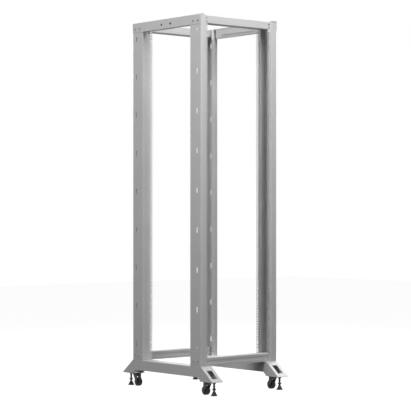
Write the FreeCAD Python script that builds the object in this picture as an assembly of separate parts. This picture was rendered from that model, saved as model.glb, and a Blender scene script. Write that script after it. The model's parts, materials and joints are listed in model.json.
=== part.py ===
import FreeCAD, Part
import math
import os

# Four post open frame rack, 42 rack units, standing on swivel casters and levelling feet.
# Millimetres. X runs to the right, Y to the rear and Z up. The origin lies on the floor,
# midway between the posts. The height follows from the number of units. A corner piece is drawn
# for the front left corner, with x measured inwards from the left side face of the post and y
# rearwards from its front face, and is then mirrored to the other corners.

Vector = FreeCAD.Vector

# ---------------------------------------------------------------- overall sizes
rack_width = 565.0          # over the side faces of the posts
rack_depth = 614.0          # over the front and rear faces of the posts

# ---------------------------------------------------------------- 19 inch equipment rails
unit_height = 44.45
unit_count = 42
unit_hole_places = (1 / 7, 1 / 2, 6 / 7)    # parts of one unit
first_unit_rise = 16.0      # underside of unit 1, above the base
head_room = 64.1            # top of the rack, above the last unit
rail_opening = 450.0        # between the free edges of the rails
rail_width = 15.5           # rail, inwards from the lip of the post
rail_hole_margin = 7.55     # hole column, from the free edge: the columns lie 465.1 apart
rail_hole = 9.5             # square hole

# ---------------------------------------------------------------- posts
post_sheet = 2.0
post_bend = 2.0             # radius of the bends, at the middle of the sheet
post_depth = 93.0           # front face to inner lip
rear_seam_margin = 5.0      # rear seam of the side wall, from the inner lip
outer_rail_recess = 11.0    # outer rail, behind the front face
inner_rail_step = 14.0      # inner rail, beyond the inner lip

# cable slots in the side wall of each post
slot_count = 9
first_slot_rise = 94.0      # above the base
last_slot_drop = 93.0       # below the top of the rack
slot_width = 8.0
slot_length = 32.0
slot_setback = 33.0         # from the front face

# ---------------------------------------------------------------- base
base_sheet = 2.5
base_bend = 2.5
base_width = 77.0
base_top = 156.0
base_underside = 97.0

foot_reach = 97.0           # beyond the face of the posts
foot_overlap = 25.0         # foot housing, behind the face of the posts
foot_underside = 75.0
foot_toe = 2.0              # upright edge at the tip
foot_curve_start = 18.0     # the curved lower edge starts this far before the post face
window_width = 37.0
window_from = 24.0          # access window, from the top edge of the slope, measured level
window_to = 76.5
foot_plate_sheet = 3.0
foot_plate_tail = 14.5      # mounting plate, behind the face of the posts

# ---------------------------------------------------------------- cross beams and top beams
cross_sheet = 2.0
cross_bend = 2.0
cross_depth = 62.0
bottom_beam_height = 47.0
groove_depth = 1.2
groove_height = 20.0
groove_taper = 4.0          # height of the groove's sloping edges
groove_margin = 13.0        # groove, above the lower edge of the beam
top_beam_rise = 8.0         # above the lower edge of the side beams
top_beam_height = 42.0
side_beam_sheet = 1.5
side_beam_bend = 1.5
side_beam_height = 56.0
side_beam_top_flange = 30.0
side_hole_radius = 4.5
side_hole_spacing = 80.0
side_hole_height = 26.0     # above the lower edge of the side beam
liner_setback = 27.0        # inner wall between the posts, from their side faces
liner_slot_height = 14.0    # row of slots in the inner wall, above the lower edge of the side beam
liner_slot_width = 5.0
liner_slot_length = 14.0
liner_slot_pitch = 20.0
liner_slot_count = 15
notch_gap = 2.0             # around the posts
post_top_gap = 3.5          # between the posts and the underside of the side beams

# ---------------------------------------------------------------- bolts through the posts' side walls
bolt_radius = 4.0
bolt_clearance = 0.5
bolt_head_radius = 6.5
bolt_head = 3.5
nut_flats = 13.0
nut_height = 6.5
bolt_tail = 1.5             # beyond the nut
top_bolt_margins = (11.0, 10.0)     # from the front and the rear edge of the cross beam
top_bolt_rise = 13.0        # above the underside of the top beam
bottom_bolt_margins = (13.0, 15.0)
bottom_bolt_rise = 29.0     # above the base

# ---------------------------------------------------------------- casters
caster_setback = 12.0       # swivel axis, before the face of the posts
caster_trail = 13.0
wheel_radius = 25.0
wheel_width = 24.0
wheel_lift = 0.3            # the levelling feet carry the rack
wheel_bevel = 3.0
hub_radius = 14.0
hub_recess = 2.5
axle_radius = 4.0
running_clearance = 0.05
cheek_clearance = 1.5
cheek_sheet = 2.5
axle_head_radius = 6.5
axle_head = 2.0
head_radius = 26.0
head_thickness = 5.0
head_gap = 0.3
crown_radius = 24.0
crown_thickness = 4.0
kingpin_radius = 5.0
axle_boss_radius = 9.0

# ---------------------------------------------------------------- levelling feet
leveler_margin = 29.0       # stud axis, from the tip of the foot
stud_radius = 6.0
stud_top = 100.0
pad_radius = 18.0
pad_rim = 4.0
pad_height = 24.0
pad_neck_radius = 8.0
hex_across_flats = 19.0
hex_base = 32.0
hex_height = 8.0
weld_nut_flats = 19.0
weld_nut_height = 8.0

# ---------------------------------------------------------------- sizes worked out
first_unit_height = base_top + first_unit_rise
rack_height = first_unit_height + unit_count * unit_height + head_room
rail_edge = (rack_width - rail_opening) / 2
rail_hole_x = rail_edge - rail_hole_margin
post_lip = rail_edge - rail_width   # width of the front face and of the inner lip
inner_rail_face = post_depth + inner_rail_step
post_top = rack_height - side_beam_sheet - post_top_gap
first_slot_height = base_top + first_slot_rise
slot_pitch = (rack_height - last_slot_drop - first_slot_height) / (slot_count - 1)
cross_front = outer_rail_recess + post_sheet
cross_rear = cross_front + cross_depth
bottom_beam_top = base_top + bottom_beam_height
side_beam_underside = rack_height - side_beam_height
top_beam_underside = side_beam_underside + top_beam_rise
top_beam_top = top_beam_underside + top_beam_height
top_bolt_setbacks = (cross_front + top_bolt_margins[0], cross_rear - top_bolt_margins[1])
top_bolt_height = top_beam_underside + top_bolt_rise
bottom_bolt_setbacks = (cross_front + bottom_bolt_margins[0], cross_rear - bottom_bolt_margins[1])
bottom_bolt_height = base_top + bottom_bolt_rise
corner_middle = base_width / 2
leveler_setback = foot_reach - leveler_margin   # before the face of the posts
axle_height = wheel_radius + wheel_lift
axle_y = caster_trail - caster_setback
head_underside = foot_underside - head_thickness
crown_top = head_underside - head_gap
crown_underside = crown_top - crown_thickness


def box(x_span, y_span, z_span):
    size = [span[1] - span[0] for span in (x_span, y_span, z_span)]
    return Part.makeBox(size[0], size[1], size[2], Vector(x_span[0], y_span[0], z_span[0]))


def cylinder(radius, start, end):
    axis = end.sub(start)
    return Part.makeCylinder(radius, axis.Length, start, axis)


def fuse(shapes):
    return shapes[0].multiFuse(shapes[1:]).removeSplitter()


def in_plan(a, b):
    return Vector(a, b, 0)


def in_side_view(a, b):
    return Vector(0, a, b)


def in_front_view(a, b):
    return Vector(a, 0, b)


def polygon(points, view, run):
    corners = [view(a, b) for a, b in points]
    return Part.Face(Part.makePolygon(corners + corners[:1])).extrude(run)


def one_side(path, radius, half, view):
    """Edges half a sheet to the left of a path of middle points, with round bends."""
    points = [Vector(a, b, 0) for a, b in path]
    ahead = [end.sub(start).normalize() for start, end in zip(points, points[1:])]
    left = [Vector(-step.y, step.x, 0) for step in ahead]
    place = lambda point: view(point.x, point.y)
    edges = []
    cursor = points[0] + left[0] * half
    for i in range(1, len(points) - 1):
        turn = math.asin(ahead[i - 1].cross(ahead[i]).z)
        if ahead[i - 1].dot(ahead[i]) < -1e-6:
            turn = math.copysign(math.pi, turn) - turn
        hand = math.copysign(1.0, turn)
        reach = radius * math.tan(abs(turn) / 2)
        touch = points[i] - ahead[i - 1] * reach
        centre = touch + left[i - 1] * (radius * hand)
        start = touch + left[i - 1] * half
        end = points[i] + ahead[i] * reach + left[i] * half
        middle = centre + (points[i] - centre).normalize() * (radius - half * hand)
        edges.append(Part.makeLine(place(cursor), place(start)))
        edges.append(Part.Arc(place(start), place(middle), place(end)).toShape())
        cursor = end
    last = points[-1] + left[-1] * half
    edges.append(Part.makeLine(place(cursor), place(last)))
    return edges, place(points[0] + left[0] * half), place(last)


def bent_sheet(path, radius, thickness, view, run):
    """Sheet metal bent along a path of middle points, extruded by the vector run."""
    there, start, turn = one_side(path, radius, thickness / 2, view)
    back, turned, end = one_side(path[::-1], radius, thickness / 2, view)
    edges = there + [Part.makeLine(turn, turned)] + back + [Part.makeLine(end, start)]
    return Part.Face(Part.Wire(edges)).extrude(run)


def hexagon(across_flats, centre, height):
    radius = across_flats / math.sqrt(3)
    points = [(centre.x + radius * math.cos(math.radians(60 * i)),
               centre.y + radius * math.sin(math.radians(60 * i))) for i in range(6)]
    prism = polygon(points, in_plan, Vector(0, 0, height))
    prism.translate(Vector(0, 0, centre.z))
    return prism


def obround(face_x, centre_y, centre_z, width, length, thickness):
    """Upright slot with round ends, to be cut through a wall that faces X."""
    radius = width / 2
    straight = (length - width) / 2
    ends = [cylinder(radius, Vector(face_x, centre_y, z), Vector(face_x + thickness, centre_y, z))
            for z in (centre_z - straight, centre_z + straight)]
    middle = box((face_x, face_x + thickness), (centre_y - radius, centre_y + radius),
                 (centre_z - straight, centre_z + straight))
    return fuse(ends + [middle])


def bolt_holes(setbacks, height, start, end):
    """Clearance holes for a row of bolts along X, from x = start to x = end."""
    return [cylinder(bolt_radius + bolt_clearance, Vector(start, y, height), Vector(end, y, height))
            for y in setbacks]


def side_bolt(seat, grip_end, y, z):
    """Round headed bolt along X: the head lies on x = seat, and the nut behind x = grip_end."""
    head = cylinder(bolt_head_radius, Vector(seat - bolt_head, y, z), Vector(seat, y, z))
    shank = cylinder(bolt_radius, Vector(seat, y, z),
                     Vector(grip_end + nut_height + bolt_tail, y, z))
    nut = hexagon(nut_flats, Vector(0, 0, 0), nut_height)
    nut.rotate(Vector(0, 0, 0), Vector(0, 1, 0), 90)
    nut.translate(Vector(grip_end, y, z))
    return fuse([head, shank, nut])


def unit_hole_heights():
    return [first_unit_height + (unit + place) * unit_height
            for unit in range(unit_count) for place in unit_hole_places]


def post():
    """Open section: a side wall between two folded strips, each a lip with a stepped rail."""
    half = post_sheet / 2
    path = [(rail_edge, outer_rail_recess + half),
            (post_lip - half, outer_rail_recess + half),
            (post_lip - half, half),
            (half, half),
            (half, post_depth - half),
            (post_lip - half, post_depth - half),
            (post_lip - half, inner_rail_face - half),
            (rail_edge, inner_rail_face - half)]
    shape = bent_sheet(path, post_bend, post_sheet, in_plan, Vector(0, 0, post_top - base_top))
    shape.translate(Vector(0, 0, base_top))
    slots = [obround(-post_sheet, slot_setback, first_slot_height + slot_pitch * i,
                     slot_width, slot_length, 3 * post_sheet) for i in range(slot_count)]
    reach = rail_hole / 2
    across = (rail_hole_x - reach, rail_hole_x + reach)
    holes = [box(across, (rail - 2 * post_sheet, rail + 2 * post_sheet), (z - reach, z + reach))
             for rail in (outer_rail_recess + half, inner_rail_face - half) for z in unit_hole_heights()]
    bolts = bolt_holes(top_bolt_setbacks, top_bolt_height, -1, 2 * post_sheet)
    bolts += bolt_holes(bottom_bolt_setbacks, bottom_bolt_height, -1, 2 * post_sheet)
    section = shape.cut(Part.makeCompound(slots + holes + bolts))
    rear_seam = post_depth - rear_seam_margin
    strips = [section.common(box((-1, rail_edge + 1), y_span, (base_top - 1, post_top + 1)))
              for y_span in ((-1, cross_front), (cross_front, rear_seam), (rear_seam, inner_rail_face + 1))]
    return Part.makeCompound(strips)


def base_beam():
    """Side beam of the base: a channel that opens downwards."""
    half = base_sheet / 2
    path = [(half, base_underside), (half, base_top - half),
            (base_width - half, base_top - half), (base_width - half, base_underside)]
    length = rack_depth - 2 * foot_overlap
    shape = bent_sheet(path, base_bend, base_sheet, in_front_view, Vector(0, length, 0))
    shape.translate(Vector(0, foot_overlap, 0))
    return shape


def foot():
    """Foot housing: two side plates with a curved lower edge, and a sloping cover with a window."""
    toe = foot_underside + foot_toe
    grade = (base_top - toe) / foot_reach
    inner_top = base_top - base_sheet
    drop = base_sheet * math.hypot(1, grade)
    inner_bend = (inner_top - base_top + drop) / grade
    inner_toe = (foot_underside - base_top + drop) / grade
    cover = polygon([(foot_overlap, base_top), (0, base_top), (-foot_reach, toe),
                     (-foot_reach, foot_underside), (inner_toe, foot_underside),
                     (inner_bend, inner_top), (foot_overlap, inner_top)],
                    in_side_view, Vector(base_width, 0, 0))

    run = foot_overlap + foot_curve_start
    rise = base_underside - foot_underside
    curve_radius = (run ** 2 + rise ** 2) / (2 * rise)
    half_turn = math.asin(run / curve_radius) / 2
    low = in_side_view(-foot_curve_start, foot_underside)
    high = in_side_view(foot_overlap, base_underside)
    middle = in_side_view(-foot_curve_start + curve_radius * math.sin(half_turn),
                          foot_underside + curve_radius * (1 - math.cos(half_turn)))
    corners = [high, in_side_view(foot_overlap, inner_top), in_side_view(inner_bend, inner_top),
               in_side_view(inner_toe, foot_underside), low]
    edges = [Part.makeLine(a, b) for a, b in zip(corners, corners[1:])]
    edges.append(Part.Arc(low, middle, high).toShape())
    side = Part.Face(Part.Wire(edges)).extrude(Vector(base_sheet, 0, 0))
    other = side.copy()
    other.translate(Vector(base_width - base_sheet, 0, 0))
    window = box((corner_middle - window_width / 2, corner_middle + window_width / 2),
                 (-window_to, -window_from), (foot_underside + foot_plate_sheet, base_top))
    return fuse([side, other, cover]).cut(window)


def foot_plate():
    """Mounting plate across the foot, with a hole for the stud and its welded nut."""
    inner_toe = foot_reach - 3 * base_sheet
    plate = box((base_sheet, base_width - base_sheet), (-inner_toe, foot_plate_tail),
                (foot_underside, foot_underside + foot_plate_sheet))
    nut = hexagon(weld_nut_flats, Vector(corner_middle, -leveler_setback, foot_underside - weld_nut_height),
                  weld_nut_height)
    bottom = foot_underside - weld_nut_height
    hole = cylinder(stud_radius + running_clearance,
                    Vector(corner_middle, -leveler_setback, bottom),
                    Vector(corner_middle, -leveler_setback, foot_underside + foot_plate_sheet))
    return fuse([plate, nut]).cut(hole)


def beam_between_posts(path, lower, height, setbacks, bolt_height):
    """Bent channel from post to post, with an upright tab at each end, bolted to the posts."""
    web = bent_sheet(path, cross_bend, cross_sheet, in_side_view, Vector(rack_width - 2 * post_sheet, 0, 0))
    web.translate(Vector(post_sheet, 0, 0))
    tabs = [box(span, (cross_front, cross_rear), (lower, lower + height))
            for span in ((post_sheet, post_sheet + cross_sheet),
                         (rack_width - post_sheet - cross_sheet, rack_width - post_sheet))]
    holes = bolt_holes(setbacks, bolt_height, 0, 2 * (post_sheet + cross_sheet))
    holes += bolt_holes(setbacks, bolt_height, rack_width - 2 * (post_sheet + cross_sheet), rack_width)
    return fuse([web] + tabs).cut(Part.makeCompound(holes))


def top_beam():
    """Channel between the posts, open upwards."""
    half = cross_sheet / 2
    front = cross_front + half
    rear = cross_rear - half
    path = [(front, top_beam_top), (front, top_beam_underside + half),
            (rear, top_beam_underside + half), (rear, top_beam_top)]
    return beam_between_posts(path, top_beam_underside, top_beam_height, top_bolt_setbacks, top_bolt_height)


def bottom_beam():
    """Channel on the base, open downwards, with a groove along its front and rear walls."""
    half = cross_sheet / 2
    front = cross_front + half
    rear = cross_rear - half
    low = base_top + groove_margin
    high = low + groove_height
    floor_low = low + groove_taper
    floor_high = high - groove_taper
    path = [(front, base_top), (front, low), (front + groove_depth, floor_low),
            (front + groove_depth, floor_high), (front, high), (front, bottom_beam_top - half),
            (rear, bottom_beam_top - half), (rear, high), (rear - groove_depth, floor_high),
            (rear - groove_depth, floor_low), (rear, low), (rear, base_top)]
    return beam_between_posts(path, base_top, bottom_beam_height, bottom_bolt_setbacks, bottom_bolt_height)


def side_beam():
    """Channel along the top, outside the posts, with an inner wall that closes it between them."""
    half = side_beam_sheet / 2
    top = rack_height - half
    bottom = side_beam_underside + half
    path = [(side_beam_top_flange, top), (-half, top), (-half, bottom), (liner_setback, bottom)]
    channel = bent_sheet(path, side_beam_bend, side_beam_sheet, in_front_view, Vector(0, rack_depth, 0))
    notch_height = side_beam_underside + 2 * side_beam_bend + side_beam_sheet
    liner_start = inner_rail_face + notch_gap
    liner_end = rack_depth - liner_start
    cuts = []
    for span in ((-1, liner_start), (liner_end, rack_depth + 1)):
        cuts.append(box((0, side_beam_top_flange), span, (side_beam_underside - 1, notch_height)))
    liner = box((liner_setback - side_beam_sheet, liner_setback), (liner_start, liner_end),
                (side_beam_underside, top))
    shape = fuse([channel, liner])
    for i in range(liner_slot_count):
        middle = rack_depth / 2 + (i - (liner_slot_count - 1) / 2) * liner_slot_pitch
        cuts.append(box((liner_setback - 2 * side_beam_sheet, liner_setback + side_beam_sheet),
                        (middle - liner_slot_length / 2, middle + liner_slot_length / 2),
                        (side_beam_underside + liner_slot_height - liner_slot_width / 2,
                         side_beam_underside + liner_slot_height + liner_slot_width / 2)))
    for side in (-1, 1):
        y = rack_depth / 2 + side * side_hole_spacing / 2
        z = side_beam_underside + side_hole_height
        cuts.append(cylinder(side_hole_radius, Vector(-2 * side_beam_sheet, y, z),
                             Vector(2 * side_beam_sheet, y, z)))
    for y in top_bolt_setbacks:
        cuts += bolt_holes((y, rack_depth - y), top_bolt_height,
                           -2 * side_beam_sheet, 2 * side_beam_sheet)
    return shape.cut(Part.makeCompound(cuts))


def side_bolts():
    """Bolts on one side of the rack, top and bottom, through the posts into the cross beams."""
    grip_end = post_sheet + cross_sheet
    bolts = []
    for y in top_bolt_setbacks:
        for place in (y, rack_depth - y):
            bolts.append(side_bolt(-side_beam_sheet, grip_end, place, top_bolt_height))
    for y in bottom_bolt_setbacks:
        for place in (y, rack_depth - y):
            bolts.append(side_bolt(0, grip_end, place, bottom_bolt_height))
    return Part.makeCompound(bolts)


def caster_head():
    """Fixed upper ring of the swivel, with the bore for the kingpin."""
    bottom = Vector(corner_middle, -caster_setback, head_underside)
    head = cylinder(head_radius, bottom, bottom + Vector(0, 0, head_thickness))
    bore = cylinder(kingpin_radius + running_clearance, bottom, bottom + Vector(0, 0, head_thickness))
    return head.cut(bore)


def caster_fork():
    """Swivelling crown with its kingpin, two tapered cheeks and the riveted axle."""
    swivel = Vector(corner_middle, -caster_setback, crown_underside)
    crown = cylinder(crown_radius, swivel, swivel + Vector(0, 0, crown_thickness))
    kingpin = cylinder(kingpin_radius, swivel, Vector(swivel.x, swivel.y, foot_underside - head_gap))
    inner = wheel_width / 2 + cheek_clearance
    top = crown_underside + crown_thickness / 2
    spread = math.sqrt(crown_radius ** 2 - (inner + cheek_sheet) ** 2)
    outline = [(swivel.y - spread, top), (swivel.y + spread, top),
               (axle_y + axle_boss_radius, axle_height), (axle_y - axle_boss_radius, axle_height)]
    cheeks = []
    for side in (-1, 1):
        start = corner_middle + side * inner if side > 0 else corner_middle - inner - cheek_sheet
        plate = polygon(outline, in_side_view, Vector(cheek_sheet, 0, 0))
        plate.translate(Vector(start, 0, 0))
        boss = cylinder(axle_boss_radius, Vector(start, axle_y, axle_height),
                        Vector(start + cheek_sheet, axle_y, axle_height))
        cheeks += [plate, boss]
    outer = inner + cheek_sheet
    axle = cylinder(axle_radius, Vector(corner_middle - outer, axle_y, axle_height),
                    Vector(corner_middle + outer, axle_y, axle_height))
    heads = [cylinder(axle_head_radius, Vector(corner_middle + side * outer, axle_y, axle_height),
                      Vector(corner_middle + side * (outer + axle_head), axle_y, axle_height))
             for side in (-1, 1)]
    return fuse([crown, kingpin, axle] + cheeks + heads)


def caster_wheel():
    """Wheel turned about its axle: bevelled tread and a hub recessed on both faces."""
    half = wheel_width / 2
    bore = axle_radius + running_clearance
    floor = -half + hub_recess
    outline = [(bore, -half), (hub_radius - 2 * hub_recess, -half), (hub_radius - hub_recess, floor),
               (wheel_radius - 2 * wheel_bevel, floor), (wheel_radius - 1.5 * wheel_bevel, -half),
               (wheel_radius - wheel_bevel, -half), (wheel_radius, -half + wheel_bevel)]
    outline += [(radius, -across) for radius, across in outline[::-1]]
    points = [Vector(corner_middle + across, axle_y, axle_height + radius) for radius, across in outline]
    face = Part.Face(Part.makePolygon(points + points[:1]))
    return face.revolve(Vector(corner_middle, axle_y, axle_height), Vector(1, 0, 0), 360)


def leveler_stud():
    """Threaded stud with its hexagon, standing in the pad."""
    centre = Vector(corner_middle, -leveler_setback, 0)
    stud = cylinder(stud_radius, centre + Vector(0, 0, pad_height), centre + Vector(0, 0, stud_top))
    return fuse([stud, hexagon(hex_across_flats, centre + Vector(0, 0, hex_base), hex_height)])


def leveler_pad():
    """Conical foot pad."""
    outline = [(0, 0), (pad_radius, 0), (pad_radius, pad_rim),
               (pad_neck_radius, pad_height), (0, pad_height)]
    points = [Vector(corner_middle + radius, -leveler_setback, z) for radius, z in outline]
    face = Part.Face(Part.makePolygon(points + points[:1]))
    return face.revolve(Vector(corner_middle, -leveler_setback, 0), Vector(0, 0, 1), 360)


def placed(shape, right, rear):
    """The front left piece, centred on the rack and mirrored to its own corner."""
    moved = shape.copy()
    moved.translate(Vector(-rack_width / 2, -rack_depth / 2, 0))
    if right:
        moved = moved.mirror(Vector(0, 0, 0), Vector(1, 0, 0))
    if rear:
        moved = moved.mirror(Vector(0, 0, 0), Vector(0, 1, 0))
    return moved


def save(name, shape, solids=1):
    if not shape.isValid() or shape.Volume <= 0 or len(shape.Solids) != solids:
        print("check", name, shape.isValid(), shape.Volume, len(shape.Solids))
    shape.exportStep(os.path.join("parts", name + ".step"))


def main():
    os.makedirs("parts", exist_ok=True)
    corner_pieces = {"post": post(), "foot": foot(), "foot_plate": foot_plate(),
                     "caster_head": caster_head(), "caster_fork": caster_fork(),
                     "caster_wheel": caster_wheel(), "leveler_stud": leveler_stud(),
                     "leveler_pad": leveler_pad()}
    for depth_name, rear in (("front", False), ("rear", True)):
        for side_name, right in (("left", False), ("right", True)):
            for name, shape in corner_pieces.items():
                node = "_".join((depth_name, side_name, name))
                save(node, placed(shape, right, rear), solids=3 if name == "post" else 1)
    for side_name, right in (("left", False), ("right", True)):
        save(side_name + "_base_beam", placed(base_beam(), right, False))
        save(side_name + "_top_beam", placed(side_beam(), right, False))
        save(side_name + "_side_bolts", placed(side_bolts(), right, False), solids=8)
    for depth_name, rear in (("front", False), ("rear", True)):
        save(depth_name + "_top_beam", placed(top_beam(), False, rear))
        save(depth_name + "_bottom_beam", placed(bottom_beam(), False, rear))


main()
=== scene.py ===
import json
import math

import bmesh
import bpy
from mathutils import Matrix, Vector


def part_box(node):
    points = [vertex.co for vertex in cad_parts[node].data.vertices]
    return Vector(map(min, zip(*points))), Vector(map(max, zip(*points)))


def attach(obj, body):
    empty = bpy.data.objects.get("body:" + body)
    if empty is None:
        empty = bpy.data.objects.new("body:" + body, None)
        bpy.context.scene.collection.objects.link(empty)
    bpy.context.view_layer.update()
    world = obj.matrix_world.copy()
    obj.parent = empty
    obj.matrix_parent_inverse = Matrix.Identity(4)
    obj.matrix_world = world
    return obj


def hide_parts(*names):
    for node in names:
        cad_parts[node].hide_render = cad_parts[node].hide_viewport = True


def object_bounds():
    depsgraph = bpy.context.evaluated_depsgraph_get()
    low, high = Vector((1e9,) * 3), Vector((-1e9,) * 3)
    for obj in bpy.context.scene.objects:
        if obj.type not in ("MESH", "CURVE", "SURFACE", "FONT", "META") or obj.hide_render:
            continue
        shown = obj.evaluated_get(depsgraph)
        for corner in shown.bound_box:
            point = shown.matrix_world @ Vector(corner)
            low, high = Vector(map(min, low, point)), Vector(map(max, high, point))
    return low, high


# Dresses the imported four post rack: powder coated steel, black casters and levelling feet, its
# bolts, and a plain white studio. Metres. X runs to the right, Y to the rear and Z up.

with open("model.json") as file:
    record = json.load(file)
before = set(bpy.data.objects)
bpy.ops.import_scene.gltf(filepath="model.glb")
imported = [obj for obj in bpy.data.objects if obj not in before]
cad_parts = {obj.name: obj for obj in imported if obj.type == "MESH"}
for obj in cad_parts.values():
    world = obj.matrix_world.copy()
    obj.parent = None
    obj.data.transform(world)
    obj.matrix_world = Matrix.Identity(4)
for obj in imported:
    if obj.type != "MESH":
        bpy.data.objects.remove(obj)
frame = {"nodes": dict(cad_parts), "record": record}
cad_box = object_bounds()

MM = 0.001
NODES = frame["nodes"]
CORNERS = [(depth, side) for depth in ("front", "rear") for side in ("left", "right")]

POST_LOW, POST_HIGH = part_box("front_left_post")
HALF_WIDTH = -POST_LOW.x
HALF_DEPTH = -POST_LOW.y

# Millimetres. A corner's own x runs inwards from the side face of its post, and y rearwards
# from the front face.
BASE_TOP = POST_LOW.z / MM
TOP_BEAM_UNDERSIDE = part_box("front_top_beam")[0].z / MM
RACK_TOP = cad_box[1].z / MM
POST_SHEET = 2.0
SIDE_BEAM_SHEET = 1.5
RAIL_RECESS = 11.0
RAIL_HOLE_X = 49.95
RAIL_SCREW_HEIGHTS = (TOP_BEAM_UNDERSIDE + 9.0, TOP_BEAM_UNDERSIDE + 30.0)
TOP_BOLT_HEIGHT = TOP_BEAM_UNDERSIDE + 13.0
TOP_BOLT_SETBACKS = (24.0, 65.0)
BOTTOM_BOLT_HEIGHT = BASE_TOP + 29.0
BOTTOM_BOLT_SETBACKS = (26.0, 60.0)
CORNER_MIDDLE = 38.5
BASE_WIDTH = 77.0
FOOT_OVERLAP = 25.0
BASE_UNDERSIDE = 97.0
INNER_RAIL_FACE = 107.0
SIDE_HOLE_HEIGHT = RACK_TOP - 30.0
SIDE_HOLE_SPACING = 80.0

SWIVEL_Y = -12.0
HEAD_UNDERSIDE = 70.0
CROWN_UNDERSIDE = 65.7
AXLE_Y = 1.0
AXLE_HEIGHT = 25.3
CHEEK_INNER = 13.5
CHEEK_SHEET = 2.5
CHEEK_REACH = 17.5
AXLE_BOSS = 9.0
SKIRTS = ((-17.0, 3.2), (17.0, -6.5))    # place before or behind the kingpin, and lean
SKIRT_DROP = 11.0
SKIRT_HALF = 1.0
LEVELER_Y = -68.0
PAD_HEIGHT = 24.0
HEX_BASE = 32.0
STUD_TOP = 100.0

# Fasteners: head (radius, height, half the key), washer (bore, rim, height), nut (flats, height, bore)
# and thread end (radius, tip radius, length).
BOLT_HEAD = (6.4, 3.4, 2.5)
BOLT_WASHER = (4.1, 7.4, 1.2)
BOLT_NUT = (12.8, 5.2, 3.9)
BOLT_END = (3.6, 3.0, 7.9)
SCREW_HEAD = (5.6, 3.0, 2.2)
SCREW_NUT = (9.8, 4.6, 2.9)
SCREW_END = (2.7, 2.2, 6.1)
STUD_HEXAGON = (18.9, 8.0, 5.6)

# Welds: legs, and the spans of the short beads along the foot of a post.
SEAM_LEG = 2.2
FILLET_LEG = 3.0
POST_LIP = 42.0
RAIL_BEAD = (43.5, 57.0)
LIP_BEAD = (95.0, 104.0)
WALL_BEADS = ((24.0, 44.0), (60.0, 80.0))


# ---------------------------------------------------------------- materials
def new_material(name):
    material = bpy.data.materials.new(name)
    material.use_nodes = True
    tree = material.node_tree
    tree.nodes.clear()
    output = tree.nodes.new("ShaderNodeOutputMaterial")
    shader = tree.nodes.new("ShaderNodeBsdfPrincipled")
    tree.links.new(shader.outputs["BSDF"], output.inputs["Surface"])
    return material, tree, shader


def noise(tree, scale, detail):
    """Noise in object space, scale per metre."""
    place = tree.nodes.new("ShaderNodeTexCoord")
    texture = tree.nodes.new("ShaderNodeTexNoise")
    texture.inputs["Scale"].default_value = scale
    texture.inputs["Detail"].default_value = detail
    texture.inputs["Roughness"].default_value = 0.5
    tree.links.new(place.outputs["Object"], texture.inputs["Vector"])
    return texture


def remap(tree, source, low, high):
    """A number that runs from low to high over the middle of the noise."""
    node = tree.nodes.new("ShaderNodeMapRange")
    node.inputs["From Min"].default_value = 0.3
    node.inputs["From Max"].default_value = 0.7
    node.inputs["To Min"].default_value = low
    node.inputs["To Max"].default_value = high
    tree.links.new(source, node.inputs["Value"])
    return node.outputs["Result"]


def bump(tree, shader, height, strength, distance):
    node = tree.nodes.new("ShaderNodeBump")
    node.inputs["Strength"].default_value = strength
    node.inputs["Distance"].default_value = distance
    tree.links.new(height, node.inputs["Height"])
    tree.links.new(node.outputs["Normal"], shader.inputs["Normal"])


def shade(tree, factor, dark, light):
    """A grey that runs between two levels with the factor."""
    node = tree.nodes.new("ShaderNodeMix")
    node.data_type = "RGBA"
    node.inputs["A"].default_value = dark
    node.inputs["B"].default_value = light
    tree.links.new(factor, node.inputs["Factor"])
    return node.outputs["Result"]


def grey(level, warmth=0.0):
    return (level * (1 + warmth), level, level * (1 - warmth), 1.0)


def painted(name, level, roughness):
    """Powder coat: a fine orange peel, and a faint unevenness of tone and gloss."""
    material, tree, shader = new_material(name)
    cloud = noise(tree, scale=6.0, detail=4.0)
    tone = shade(tree, remap(tree, cloud.outputs["Fac"], 0.0, 1.0), grey(level * 0.975), grey(level * 1.02))
    tree.links.new(tone, shader.inputs["Base Color"])
    shader.inputs["Specular IOR Level"].default_value = 0.3
    peel = noise(tree, scale=900.0, detail=2.0)
    tree.links.new(remap(tree, peel.outputs["Fac"], roughness - 0.05, roughness + 0.06),
                   shader.inputs["Roughness"])
    bump(tree, shader, peel.outputs["Fac"], strength=0.10, distance=0.4 * MM)
    return material


def black(name, level, roughness, grain, depth):
    """A dark material with a fine grain."""
    material, tree, shader = new_material(name)
    texture = noise(tree, scale=grain, detail=3.0)
    tone = shade(tree, remap(tree, texture.outputs["Fac"], 0.0, 1.0), grey(level * 0.8), grey(level * 1.3))
    tree.links.new(tone, shader.inputs["Base Color"])
    tree.links.new(remap(tree, texture.outputs["Fac"], roughness - 0.08, roughness + 0.1),
                   shader.inputs["Roughness"])
    bump(tree, shader, texture.outputs["Fac"], strength=0.15, distance=depth)
    return material


def metal(name, level, roughness):
    """Bare plated metal, slightly uneven in tone and gloss."""
    material, tree, shader = new_material(name)
    shader.inputs["Metallic"].default_value = 1.0
    texture = noise(tree, scale=700.0, detail=2.0)
    tone = shade(tree, remap(tree, texture.outputs["Fac"], 0.0, 1.0), grey(level * 0.9), grey(level * 1.08))
    tree.links.new(tone, shader.inputs["Base Color"])
    tree.links.new(remap(tree, texture.outputs["Fac"], roughness - 0.05, roughness + 0.08),
                   shader.inputs["Roughness"])
    bump(tree, shader, texture.outputs["Fac"], strength=0.08, distance=0.3 * MM)
    return material


PAINT = painted("powder_coat_grey", 0.60, 0.48)
BLACK_STEEL = black("black_plated_steel", 0.012, 0.40, 500.0, 0.2 * MM)
BLACK_PLASTIC = black("black_moulded_plastic", 0.010, 0.50, 900.0, 0.3 * MM)
ZINC = metal("zinc_plated_steel", 0.55, 0.35)
BOLT = metal("dark_zinc_plated_steel", 0.22, 0.42)
RUBBER = black("dark_rubber_tread", 0.014, 0.70, 1400.0, 0.4 * MM)

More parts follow.
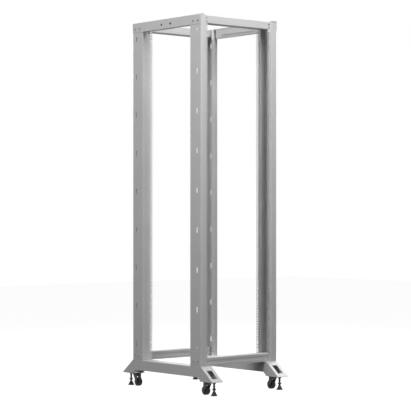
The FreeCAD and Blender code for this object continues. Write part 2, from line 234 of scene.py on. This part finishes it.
SLOT_MATERIALS = {"powder_coat": PAINT, "black_steel": BLACK_STEEL, "black_plastic": BLACK_PLASTIC,
                  "zinc": ZINC}


def dress_nodes():
    slots = {entry["node"]: entry["material_slot"] for entry in frame["record"]["subparts"]}
    for name, node in NODES.items():
        node.data.materials.clear()
        node.data.materials.append(SLOT_MATERIALS[slots[name]])


def soften_edges(names, width):
    """Rounds the cut edges of the sheet metal, as its coating does."""
    for name in names:
        bevel = NODES[name].modifiers.new("edges", "BEVEL")
        bevel.width = width
        bevel.segments = 2
        bevel.limit_method = "ANGLE"
        bevel.angle_limit = math.radians(50)
        bevel.harden_normals = False


dress_nodes()
soften_edges([name for name in NODES if name.endswith(("_foot", "_beam"))], 0.4 * MM)


# ---------------------------------------------------------------- places
def label(corner):
    return "_".join(corner)


def signs(corner):
    depth, side = corner
    return (1 if side == "right" else -1), (1 if depth == "rear" else -1)


def at(corner, x, y, z):
    """A point x mm inwards from the side face of that post and y mm behind its front face."""
    across, along = signs(corner)
    return Vector((across * (HALF_WIDTH - x * MM), along * (HALF_DEPTH - y * MM), z * MM))


def heading(corner, x, y, z):
    """A direction, x inwards and y rearwards from that corner."""
    across, along = signs(corner)
    return Vector((-across * x, -along * y, z))


# ---------------------------------------------------------------- shapes
def ring(mesh, radius, height, sides, segments, seat, turn):
    """A loop of corners about an axis: round, or a polygon whose flats lie at the radius."""
    if radius == 0:
        return [mesh.verts.new(seat + turn @ Vector((0, 0, height * MM)))]
    loop = []
    for i in range(segments):
        angle = 2 * math.pi * i / segments
        reach = radius
        if sides:
            reach /= math.cos(angle % (2 * math.pi / sides) - math.pi / sides)
        point = Vector((reach * math.cos(angle), reach * math.sin(angle), height)) * MM
        loop.append(mesh.verts.new(seat + turn @ point))
    return loop


def bridge(mesh, low, high):
    """Joins two loops, or a loop and a single point, with faces."""
    count = max(len(low), len(high))
    for i in range(count):
        j = (i + 1) % count
        if len(low) == 1:
            mesh.faces.new((low[0], high[j], high[i]))
        elif len(high) == 1:
            mesh.faces.new((low[i], low[j], high[0]))
        else:
            mesh.faces.new((low[i], low[j], high[j], high[i]))


def add_turned(mesh, rings, seat, axis, segments=36):
    """Adds a piece turned about an axis, from rings of (radius, height, sides) in mm."""
    turn = axis.to_track_quat("Z", "Y").to_matrix()
    loops = [ring(mesh, radius, height, sides, segments, seat, turn) for radius, height, sides in rings]
    for low, high in zip(loops, loops[1:]):
        bridge(mesh, low, high)


def add_thread(mesh, radius, depth, pitch, low, high, seat, axis, segments):
    """Adds a helical screw thread between two heights, in mm."""
    turn = axis.to_track_quat("Z", "Y").to_matrix()
    steps = ((0.0, 1.0), (0.35, 0.0), (0.5, 0.0), (0.85, 1.0))
    turns = int((high - low) / pitch) + 2
    columns = []
    for i in range(segments + 1):
        angle = 2 * math.pi * i / segments
        column = []
        for k in range(turns):
            for share, crest in steps:
                height = low + pitch * (k - 1 + share + i / segments)
                inside = low < height < high
                reach = radius - depth * (1.0 - crest if inside else 1.0)
                height = min(max(height, low), high)
                point = Vector((reach * math.cos(angle), reach * math.sin(angle), height)) * MM
                column.append(mesh.verts.new(seat + turn @ point))
        columns.append(column)
    for left, right in zip(columns, columns[1:]):
        for k in range(len(left) - 1):
            mesh.faces.new((left[k], right[k], right[k + 1], left[k + 1]))
    bmesh.ops.remove_doubles(mesh, verts=mesh.verts, dist=0.00001)


def add_plate(mesh, outline, place, thick):
    """Adds a flat plate. Place gives the world point of a corner (a, b) at a depth in the plate."""
    sides = [[mesh.verts.new(place(a, b, depth)) for a, b in outline] for depth in (0.0, thick)]
    mesh.faces.new(sides[0][::-1])
    mesh.faces.new(sides[1])
    for i in range(len(outline)):
        j = (i + 1) % len(outline)
        mesh.faces.new((sides[0][i], sides[0][j], sides[1][j], sides[1][i]))


def arc(centre, radius, start, end, steps):
    """Points of a round stretch, with its angles in degrees."""
    angles = [math.radians(start + (end - start) * i / steps) for i in range(steps + 1)]
    return [(centre[0] + radius * math.cos(angle), centre[1] + radius * math.sin(angle)) for angle in angles]


def add_bead(mesh, start, end, side_a, side_b, leg):
    """Adds a rippled weld bead from start to end, its legs along two directions, in mm."""
    length = (end - start).length
    steps = max(8, int(length / (0.7 * MM)))
    arcs = 7
    rows = []
    for i in range(steps + 1):
        ripple = 1.0 - 0.16 * abs(math.sin(math.pi * i / 4))
        if i in (0, steps):
            ripple = 0.35
        point = start + (end - start) * (i / steps)
        row = []
        for k in range(arcs):
            share = k / (arcs - 1)
            bulge = leg * ripple * MM * (1.0 + 0.10 * math.sin(math.pi * share))
            spread = side_a * (1 - share) + side_b * share
            row.append(mesh.verts.new(point + spread * bulge))
        rows.append(row)
    for low, high in zip(rows, rows[1:]):
        for k in range(arcs - 1):
            mesh.faces.new((low[k], low[k + 1], high[k + 1], high[k]))
    for row in (rows[0], rows[-1]):
        mesh.faces.new(row)


def finish_piece(name, mesh, material, body, bevel=0.0, smooth=35.0):
    """Makes the object from its mesh, and lets it ride on its body."""
    bmesh.ops.recalc_face_normals(mesh, faces=mesh.faces)
    data = bpy.data.meshes.new(name)
    mesh.to_mesh(data)
    mesh.free()
    for polygon in data.polygons:
        polygon.use_smooth = True
    data.set_sharp_from_angle(angle=math.radians(smooth))
    data.materials.append(material)
    piece = bpy.data.objects.new(name, data)
    bpy.context.collection.objects.link(piece)
    if bevel:
        edges = piece.modifiers.new("edges", "BEVEL")
        edges.width = bevel * MM
        edges.segments = 2
        edges.limit_method = "ANGLE"
        edges.angle_limit = math.radians(40)
    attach(piece, body)
    return piece


# ---------------------------------------------------------------- screws and bolts
def add_button_head(mesh, seat, outward, radius, height, key):
    """A round head with a hexagon socket, its seat on the sheet."""
    add_turned(mesh, [(0, 0, 0), (radius, 0, 0), (radius, 0.22 * height, 0),
                      (0.93 * radius, 0.55 * height, 0), (0.76 * radius, 0.84 * height, 0),
                      (0.58 * radius, height, 0), (key + 0.35, height, 6), (key, 0.93 * height, 6),
                      (key, 0.30 * height, 6), (0, 0.12 * height, 0)], seat, outward)


def add_washer(mesh, seat, outward, inner, outer, thick):
    add_turned(mesh, [(inner, 0, 0), (outer - 0.2, 0, 0), (outer, 0.3 * thick, 0), (outer, 0.75 * thick, 0),
                      (outer - 0.25, thick, 0), (inner, thick, 0), (inner, 0, 0)], seat, outward)


def add_nut(mesh, seat, outward, flats, height, bore):
    """A hexagon nut with chamfered corners."""
    half = flats / 2
    add_turned(mesh, [(bore, 0, 0), (0.96 * half, 0, 0), (half, 0.10 * height, 6), (half, 0.90 * height, 6),
                      (0.96 * half, height, 0), (bore + 0.5, height, 0), (bore, height - 0.5, 0),
                      (bore, 0, 0)], seat, outward)


def add_thread_end(mesh, seat, outward, radius, tip, length):
    add_turned(mesh, [(0, 0, 0), (radius, 0, 0), (radius, length - 0.5, 0), (tip, length, 0), (0, length, 0)],
               seat, outward, 24)


def side_bolts(side):
    """Button headed bolts through the posts into the cross beams, with washers, nuts and thread ends."""
    mesh = bmesh.new()
    rows = ((TOP_BOLT_HEIGHT, TOP_BOLT_SETBACKS, -SIDE_BEAM_SHEET),
            (BOTTOM_BOLT_HEIGHT, BOTTOM_BOLT_SETBACKS, 0.0))
    for depth in ("front", "rear"):
        corner = (depth, side)
        outward = heading(corner, -1, 0, 0)
        for height, setbacks, face in rows:
            for setback in setbacks:
                seat = at(corner, face, setback, height)
                add_button_head(mesh, seat, outward, *BOLT_HEAD)
                inner = at(corner, 2 * POST_SHEET, setback, height)
                add_washer(mesh, inner, -outward, *BOLT_WASHER)
                add_nut(mesh, inner - outward * BOLT_WASHER[2] * MM, -outward, *BOLT_NUT)
                add_thread_end(mesh, inner, -outward, *BOLT_END)
    piece = finish_piece(side + "_bolt_set", mesh, BOLT, "frame")
    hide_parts(side + "_side_bolts")


def rail_screws(depth):
    """Two screws at each end of the top beam, through the equipment rail."""
    mesh = bmesh.new()
    for side in ("left", "right"):
        corner = (depth, side)
        outward = heading(corner, 0, -1, 0)
        for height in RAIL_SCREW_HEIGHTS:
            seat = at(corner, RAIL_HOLE_X, RAIL_RECESS, height)
            add_button_head(mesh, seat, outward, *SCREW_HEAD)
            inner = at(corner, RAIL_HOLE_X, RAIL_RECESS + 2 * POST_SHEET, height)
            add_nut(mesh, inner, -outward, *SCREW_NUT)
            add_thread_end(mesh, inner, -outward, *SCREW_END)
    finish_piece(depth + "_rail_screws", mesh, BOLT, "frame")


def rivet_nuts(side):
    """Threaded inserts in the two holes at the middle of a side beam."""
    mesh = bmesh.new()
    across = 1 if side == "right" else -1
    outward = Vector((across, 0, 0))
    for along in (-1, 1):
        seat = Vector((across * (HALF_WIDTH + SIDE_BEAM_SHEET * MM),
                       along * SIDE_HOLE_SPACING / 2 * MM, SIDE_HOLE_HEIGHT * MM))
        add_turned(mesh, [(3.3, -11, 0), (4.4, -11, 0), (4.4, 0, 0), (6.2, 0, 0), (6.4, 0.3, 0),
                          (6.1, 0.7, 0), (4.0, 0.7, 0), (3.4, 0.1, 0), (3.3, -11, 0)], seat, outward, 32)
        add_turned(mesh, [(0, -9.0, 0), (3.5, -9.0, 0), (3.5, -9.5, 0), (0, -9.5, 0)], seat, outward, 24)
    finish_piece(side + "_rivet_nuts", mesh, BLACK_STEEL, "frame")


# ---------------------------------------------------------------- welds
def base_welds(corner):
    """Beads where the foot housing meets the base beam, and where the post stands on the base."""
    mesh = bmesh.new()
    outward = heading(corner, -1, 0, 0)
    ahead = heading(corner, 0, -1, 0)
    up = Vector((0, 0, 1))
    low = BASE_UNDERSIDE + 1.5
    high = BASE_TOP - 2.5
    for x, away in ((0.0, outward), (BASE_WIDTH, -outward)):
        seam = at(corner, x, FOOT_OVERLAP, low), at(corner, x, FOOT_OVERLAP, high)
        for along in (ahead, -ahead):
            add_bead(mesh, seam[0], seam[1], away * 0.35, along, SEAM_LEG)
    rail = [at(corner, x, INNER_RAIL_FACE, BASE_TOP) for x in RAIL_BEAD]
    add_bead(mesh, rail[0], rail[1], -ahead, up, FILLET_LEG)
    lip = [at(corner, POST_LIP, y, BASE_TOP) for y in LIP_BEAD]
    add_bead(mesh, lip[0], lip[1], -outward, up, FILLET_LEG)
    for span in WALL_BEADS:
        near, far = [at(corner, POST_SHEET, y, BASE_TOP) for y in span]
        add_bead(mesh, far, near, -outward, up, FILLET_LEG)
    finish_piece(label(corner) + "_welds", mesh, PAINT, "frame", smooth=60.0)


# ---------------------------------------------------------------- casters
def caster_head(corner):
    """Upper race of the swivel, with a dust lip."""
    mesh = bmesh.new()
    seat = at(corner, CORNER_MIDDLE, SWIVEL_Y, HEAD_UNDERSIDE)
    add_turned(mesh, [(5.2, 0, 0), (16.5, 0, 0), (17.0, 0.8, 0), (19.5, 0.8, 0), (20.0, 0, 0), (23.5, 0, 0),
                      (25.2, 0.5, 0), (26.0, 1.5, 0), (26.0, 3.4, 0), (25.4, 4.4, 0), (23.8, 4.9, 0),
                      (22.0, 5.0, 0), (5.2, 5.0, 0), (5.2, 0, 0)], seat, Vector((0, 0, 1)), 64)
    piece = finish_piece(label(corner) + "_swivel_race", mesh, BLACK_STEEL, "frame")
    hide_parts(label(corner) + "_caster_head")


def cheek_outline():
    """Side view of a fork cheek: waisted edges from the crown down to the round axle boss."""
    top = CROWN_UNDERSIDE + 2.0
    boss = arc((AXLE_Y, AXLE_HEIGHT), AXLE_BOSS, 0.0, -180.0, 20)
    front = []
    rear = []
    for i in range(1, 10):
        share = i / 10
        waist = math.sin(math.pi * share)
        front.append(((AXLE_Y - AXLE_BOSS) * (1 - share) + (SWIVEL_Y - CHEEK_REACH) * share + waist,
                      AXLE_HEIGHT * (1 - share) + top * share))
        rear.append(((AXLE_Y + AXLE_BOSS) * share + (SWIVEL_Y + CHEEK_REACH) * (1 - share) - waist,
                     AXLE_HEIGHT * share + top * (1 - share)))
    return boss + front + [(SWIVEL_Y - CHEEK_REACH, top), (SWIVEL_Y + CHEEK_REACH, top)] + rear


def caster_fork(corner):
    """Pressed fork: dished crown, kingpin, two waisted cheeks, two skirts, and an axle with head and nut."""
    mesh = bmesh.new()
    up = Vector((0, 0, 1))
    seat = at(corner, CORNER_MIDDLE, SWIVEL_Y, CROWN_UNDERSIDE)
    add_turned(mesh, [(0, 0, 0), (20.5, 0, 0), (23.0, 0.3, 0), (24.0, 1.2, 0), (24.0, 2.8, 0), (23.2, 3.7, 0),
                      (21.5, 4.0, 0), (12.0, 4.0, 0), (11.0, 3.2, 0), (5.0, 3.2, 0), (5.0, 8.6, 0),
                      (4.5, 9.0, 0), (0, 9.0, 0)], seat, up, 64)
    add_turned(mesh, [(0, -2.6, 0), (6.2, -2.6, 0), (7.0, -1.8, 0), (7.0, 0.2, 0), (0, 0.2, 0)], seat, up, 32)
    outline = cheek_outline()
    for start in (CORNER_MIDDLE + CHEEK_INNER, CORNER_MIDDLE - CHEEK_INNER - CHEEK_SHEET):
        add_plate(mesh, outline, lambda a, b, depth: at(corner, start + depth, a, b), CHEEK_SHEET)
    high, low = CROWN_UNDERSIDE + 1.0, CROWN_UNDERSIDE - SKIRT_DROP
    for offset, lean in SKIRTS:
        front, rear = SWIVEL_Y + offset - SKIRT_HALF, SWIVEL_Y + offset + SKIRT_HALF
        skirt = [(front, high), (rear, high), (rear + lean, low), (front + lean, low)]
        add_plate(mesh, skirt, lambda a, b, depth: at(corner, CORNER_MIDDLE - CHEEK_INNER + depth, a, b),
                  2 * CHEEK_INNER)
    outer = CHEEK_INNER + CHEEK_SHEET
    inwards = heading(corner, 1, 0, 0)
    outwards = -inwards
    add_turned(mesh, [(0, -outer, 0), (4.0, -outer, 0), (4.0, outer, 0), (0, outer, 0)],
               at(corner, CORNER_MIDDLE, AXLE_Y, AXLE_HEIGHT), inwards, 32)
    add_turned(mesh, [(0, 0, 0), (5.4, 0, 0), (5.55, 0.3, 6), (5.55, 1.5, 6), (5.2, 1.95, 0), (0, 1.95, 0)],
               at(corner, CORNER_MIDDLE - outer, AXLE_Y, AXLE_HEIGHT), outwards)
    add_turned(mesh, [(0, 0, 0), (5.3, 0, 0), (5.5, 0.25, 6), (5.5, 1.4, 6), (5.2, 1.7, 0), (3.9, 1.7, 0),
                      (3.6, 1.95, 0), (0, 1.95, 0)],
               at(corner, CORNER_MIDDLE + outer, AXLE_Y, AXLE_HEIGHT), inwards)
    name = label(corner)
    piece = finish_piece(name + "_pressed_fork", mesh, BLACK_STEEL, name + "_fork", bevel=0.35)
    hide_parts(name + "_caster_fork")


def caster_wheel(corner):
    """Moulded hub with six ribs, and a rubber tread with round shoulders."""
    name = label(corner)
    centre = at(corner, CORNER_MIDDLE, AXLE_Y, AXLE_HEIGHT)
    axis = Vector((1, 0, 0))
    tread = bmesh.new()
    add_turned(tread, [(19.2, -9.4, 0), (19.8, -11.2, 0), (21.2, -11.9, 0), (22.6, -11.8, 0),
                       (23.8, -11.0, 0), (24.6, -9.4, 0), (25.0, -6.5, 0), (25.0, 6.5, 0), (24.6, 9.4, 0),
                       (23.8, 11.0, 0), (22.6, 11.8, 0), (21.2, 11.9, 0), (19.8, 11.2, 0),
                       (19.2, 9.4, 0), (19.2, -9.4, 0)], centre, axis, 72)
    tyre = finish_piece(name + "_tread", tread, RUBBER, name + "_wheel", smooth=40.0)
    hub = bmesh.new()
    add_turned(hub, [(4.05, -11.6, 0), (6.8, -11.6, 0), (8.2, -11.0, 0), (8.8, -9.8, 0), (9.3, -6.2, 0),
                     (16.6, -6.2, 0), (17.2, -9.2, 0), (18.0, -10.0, 0), (19.4, -10.0, 0), (19.4, 10.0, 0),
                     (18.0, 10.0, 0), (17.2, 9.2, 0), (16.6, 6.2, 0), (9.3, 6.2, 0), (8.8, 9.8, 0),
                     (8.2, 11.0, 0), (6.8, 11.6, 0), (4.05, 11.6, 0), (4.05, -11.6, 0)], centre, axis, 72)
    rib_half = 0.9
    for i in range(6):
        angle = math.radians(60 * i)
        radial = Vector((0, math.cos(angle), math.sin(angle)))
        tangent = Vector((0, -math.sin(angle), math.cos(angle)))
        add_plate(hub, [(8.6, -8.4), (17.4, -8.4), (17.4, 8.4), (8.6, 8.4)],
                  lambda a, b, depth: centre + (radial * a + axis * b + tangent * (depth - rib_half)) * MM,
                  2 * rib_half)
    core = finish_piece(name + "_hub", hub, BLACK_PLASTIC, name + "_wheel", smooth=30.0)
    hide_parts(name + "_caster_wheel")
    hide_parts(name + "_caster_wheel")


# ---------------------------------------------------------------- levelling feet
def leveler(corner):
    """Threaded stud with its hexagon, and a ribbed conical pad."""
    name = label(corner)
    up = Vector((0, 0, 1))
    floor = at(corner, CORNER_MIDDLE, LEVELER_Y, 0)
    stud = bmesh.new()
    thread_end = STUD_TOP - 1.4
    add_thread(stud, 6.0, 0.9, 1.75, PAD_HEIGHT, thread_end, floor, up, 28)
    add_turned(stud, [(5.1, thread_end, 0), (4.2, STUD_TOP, 0), (0, STUD_TOP, 0)], floor, up, 28)
    add_nut(stud, floor + up * HEX_BASE * MM, up, *STUD_HEXAGON)
    piece = finish_piece(name + "_threaded_stud", stud, BLACK_STEEL, name + "_leveler")
    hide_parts(name + "_leveler_stud")
    pad = bmesh.new()
    add_turned(pad, [(0, 0, 0), (16.8, 0, 0), (17.6, 0.4, 0), (18.0, 1.3, 0), (18.0, 3.6, 0), (17.5, 4.6, 0),
                     (16.2, 5.2, 0), (14.6, 5.6, 0), (12.0, 8.6, 0), (9.8, 13.5, 0), (8.4, 19.0, 0),
                     (8.3, 22.6, 0), (7.6, 23.8, 0), (6.1, 24.0, 0), (6.1, 21.0, 0), (0, 21.0, 0)],
               floor, up, 64)
    rib_half = 0.8
    for i in range(8):
        angle = math.radians(45 * i + 22.5)
        radial = Vector((math.cos(angle), math.sin(angle), 0))
        tangent = Vector((-math.sin(angle), math.cos(angle), 0))
        add_plate(pad, [(7.4, 5.0), (16.4, 5.0), (15.2, 7.2), (9.4, 19.6), (7.4, 20.4)],
                  lambda a, b, depth: floor + (radial * a + up * b + tangent * (depth - rib_half)) * MM,
                  2 * rib_half)
    piece = finish_piece(name + "_ribbed_pad", pad, BLACK_PLASTIC, name + "_leveler")
    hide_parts(name + "_leveler_pad")


for side_name in ("left", "right"):
    side_bolts(side_name)
    rivet_nuts(side_name)
for depth_name in ("front", "rear"):
    rail_screws(depth_name)
for corner_name in CORNERS:
    base_welds(corner_name)
    caster_head(corner_name)
    caster_fork(corner_name)
    caster_wheel(corner_name)
    leveler(corner_name)


# ---------------------------------------------------------------- studio
def lamp(name, place, target, size, power):
    data = bpy.data.lights.new(name, "AREA")
    data.shape = "RECTANGLE"
    data.size, data.size_y = size
    data.energy = power
    light = bpy.data.objects.new(name, data)
    bpy.context.collection.objects.link(light)
    light.location = place
    light.rotation_euler = (Vector(target) - Vector(place)).to_track_quat("-Z", "Y").to_euler()


def camera_ray_switch(tree, others, seen):
    """Mixes to the second shader where the camera, gloss or glass looks straight at the surface."""
    path = tree.nodes.new("ShaderNodeLightPath")
    either = tree.nodes.new("ShaderNodeMath")
    either.operation = "MAXIMUM"
    tree.links.new(path.outputs["Is Camera Ray"], either.inputs[0])
    tree.links.new(path.outputs["Is Glossy Ray"], either.inputs[1])
    any_of = tree.nodes.new("ShaderNodeMath")
    any_of.operation = "MAXIMUM"
    tree.links.new(either.outputs[0], any_of.inputs[0])
    tree.links.new(path.outputs["Is Transmission Ray"], any_of.inputs[1])
    mix = tree.nodes.new("ShaderNodeMixShader")
    tree.links.new(any_of.outputs[0], mix.inputs["Fac"])
    tree.links.new(others, mix.inputs[1])
    tree.links.new(seen, mix.inputs[2])
    return mix.outputs["Shader"]


def build_world(zenith, horizon, below):
    """A dim sky on the object, brighter upwards, which the camera sees as white."""
    world = bpy.data.worlds.new("studio")
    world.use_nodes = True
    tree = world.node_tree
    tree.nodes.clear()
    output = tree.nodes.new("ShaderNodeOutputWorld")
    place = tree.nodes.new("ShaderNodeTexCoord")
    split = tree.nodes.new("ShaderNodeSeparateXYZ")
    tree.links.new(place.outputs["Generated"], split.inputs["Vector"])
    ramp = tree.nodes.new("ShaderNodeValToRGB")
    ramp.color_ramp.elements[0].position = 0.42
    ramp.color_ramp.elements[0].color = grey(below)
    ramp.color_ramp.elements[1].position = 1.0
    ramp.color_ramp.elements[1].color = grey(zenith)
    ramp.color_ramp.elements.new(0.52).color = grey(horizon)
    height = tree.nodes.new("ShaderNodeMapRange")
    height.inputs["From Min"].default_value = -1.0
    height.inputs["From Max"].default_value = 1.0
    tree.links.new(split.outputs["Z"], height.inputs["Value"])
    tree.links.new(height.outputs["Result"], ramp.inputs["Fac"])
    lit = tree.nodes.new("ShaderNodeBackground")
    tree.links.new(ramp.outputs["Color"], lit.inputs["Color"])
    seen = tree.nodes.new("ShaderNodeBackground")
    seen.inputs["Color"].default_value = grey(1.0)
    tree.links.new(camera_ray_switch(tree, lit.outputs["Background"], seen.outputs["Background"]),
                   output.inputs["Surface"])
    bpy.context.scene.world = world


def build_floor(albedo, shadow_albedo, glow_strength):
    """A floor that the camera sees as white, with a faint shadow, and that throws little light back."""
    mesh = bpy.data.meshes.new("studio_floor")
    reach = 12.0
    mesh.from_pydata([(-reach, -reach, 0), (reach, -reach, 0), (reach, reach, 0), (-reach, reach, 0)], [],
                     [(0, 1, 2, 3)])
    floor = bpy.data.objects.new("studio_floor", mesh)
    bpy.context.collection.objects.link(floor)
    material = bpy.data.materials.new("studio_floor")
    material.use_nodes = True
    tree = material.node_tree
    tree.nodes.clear()
    output = tree.nodes.new("ShaderNodeOutputMaterial")
    dull = tree.nodes.new("ShaderNodeBsdfDiffuse")
    dull.inputs["Color"].default_value = grey(albedo)
    pale = tree.nodes.new("ShaderNodeBsdfDiffuse")
    pale.inputs["Color"].default_value = grey(shadow_albedo)
    glow = tree.nodes.new("ShaderNodeEmission")
    glow.inputs["Color"].default_value = grey(1.0)
    glow.inputs["Strength"].default_value = glow_strength
    both = tree.nodes.new("ShaderNodeAddShader")
    tree.links.new(pale.outputs["BSDF"], both.inputs[0])
    tree.links.new(glow.outputs["Emission"], both.inputs[1])
    tree.links.new(camera_ray_switch(tree, dull.outputs["BSDF"], both.outputs["Shader"]),
                   output.inputs["Surface"])
    mesh.materials.append(material)


def build_camera():
    """A long lens, level, a little below half the rack's height, 40 degrees to the left of the front."""
    azimuth = math.radians(-40.0)
    distance = 9.057
    sideways = 0.0068
    height = 0.982
    ahead = Vector((math.sin(-azimuth), math.cos(azimuth), 0.0))
    right = Vector((ahead.y, -ahead.x, 0.0))
    data = bpy.data.cameras.new("camera")
    data.sensor_width = 36.0
    data.lens = 137.5
    data.shift_y = 0.028
    camera = bpy.data.objects.new("camera", data)
    bpy.context.collection.objects.link(camera)
    camera.location = right * sideways - ahead * distance + Vector((0, 0, height))
    camera.rotation_euler = (math.pi / 2, 0.0, azimuth)
    bpy.context.scene.camera = camera


build_world(zenith=0.04, horizon=0.02, below=0.0)
build_floor(albedo=0.015, shadow_albedo=0.10, glow_strength=0.965)
lamp("overhead", (0.0, 0.0, 4.6), (0, 0, 0), (3.0, 3.0), 10.0)
lamp("over_front", (-0.2, -1.6, 4.2), (0, 0, 1.0), (2.0, 1.4), 62.0)
lamp("front_key", (-0.35, -2.6, 2.75), (0, 0, 1.5), (1.0, 0.8), 25.0)
lamp("left_key", (-2.6, -0.35, 2.75), (0, 0, 1.5), (0.8, 1.0), 22.0)
lamp("front", (-0.8, -6.0, 3.3), (0, 0, 0.8), (1.6, 1.6), 54.0)
lamp("left", (-6.0, -0.8, 3.3), (0, 0, 0.8), (1.6, 1.6), 92.0)
lamp("right_fill", (3.6, 0.6, 2.6), (0, 0, 1.2), (1.2, 1.2), 118.0)
lamp("back_fill", (0.4, 3.8, 2.6), (0, 0, 1.2), (1.2, 1.2), 143.0)
build_camera()

bpy.context.scene.view_settings.view_transform = "Standard"
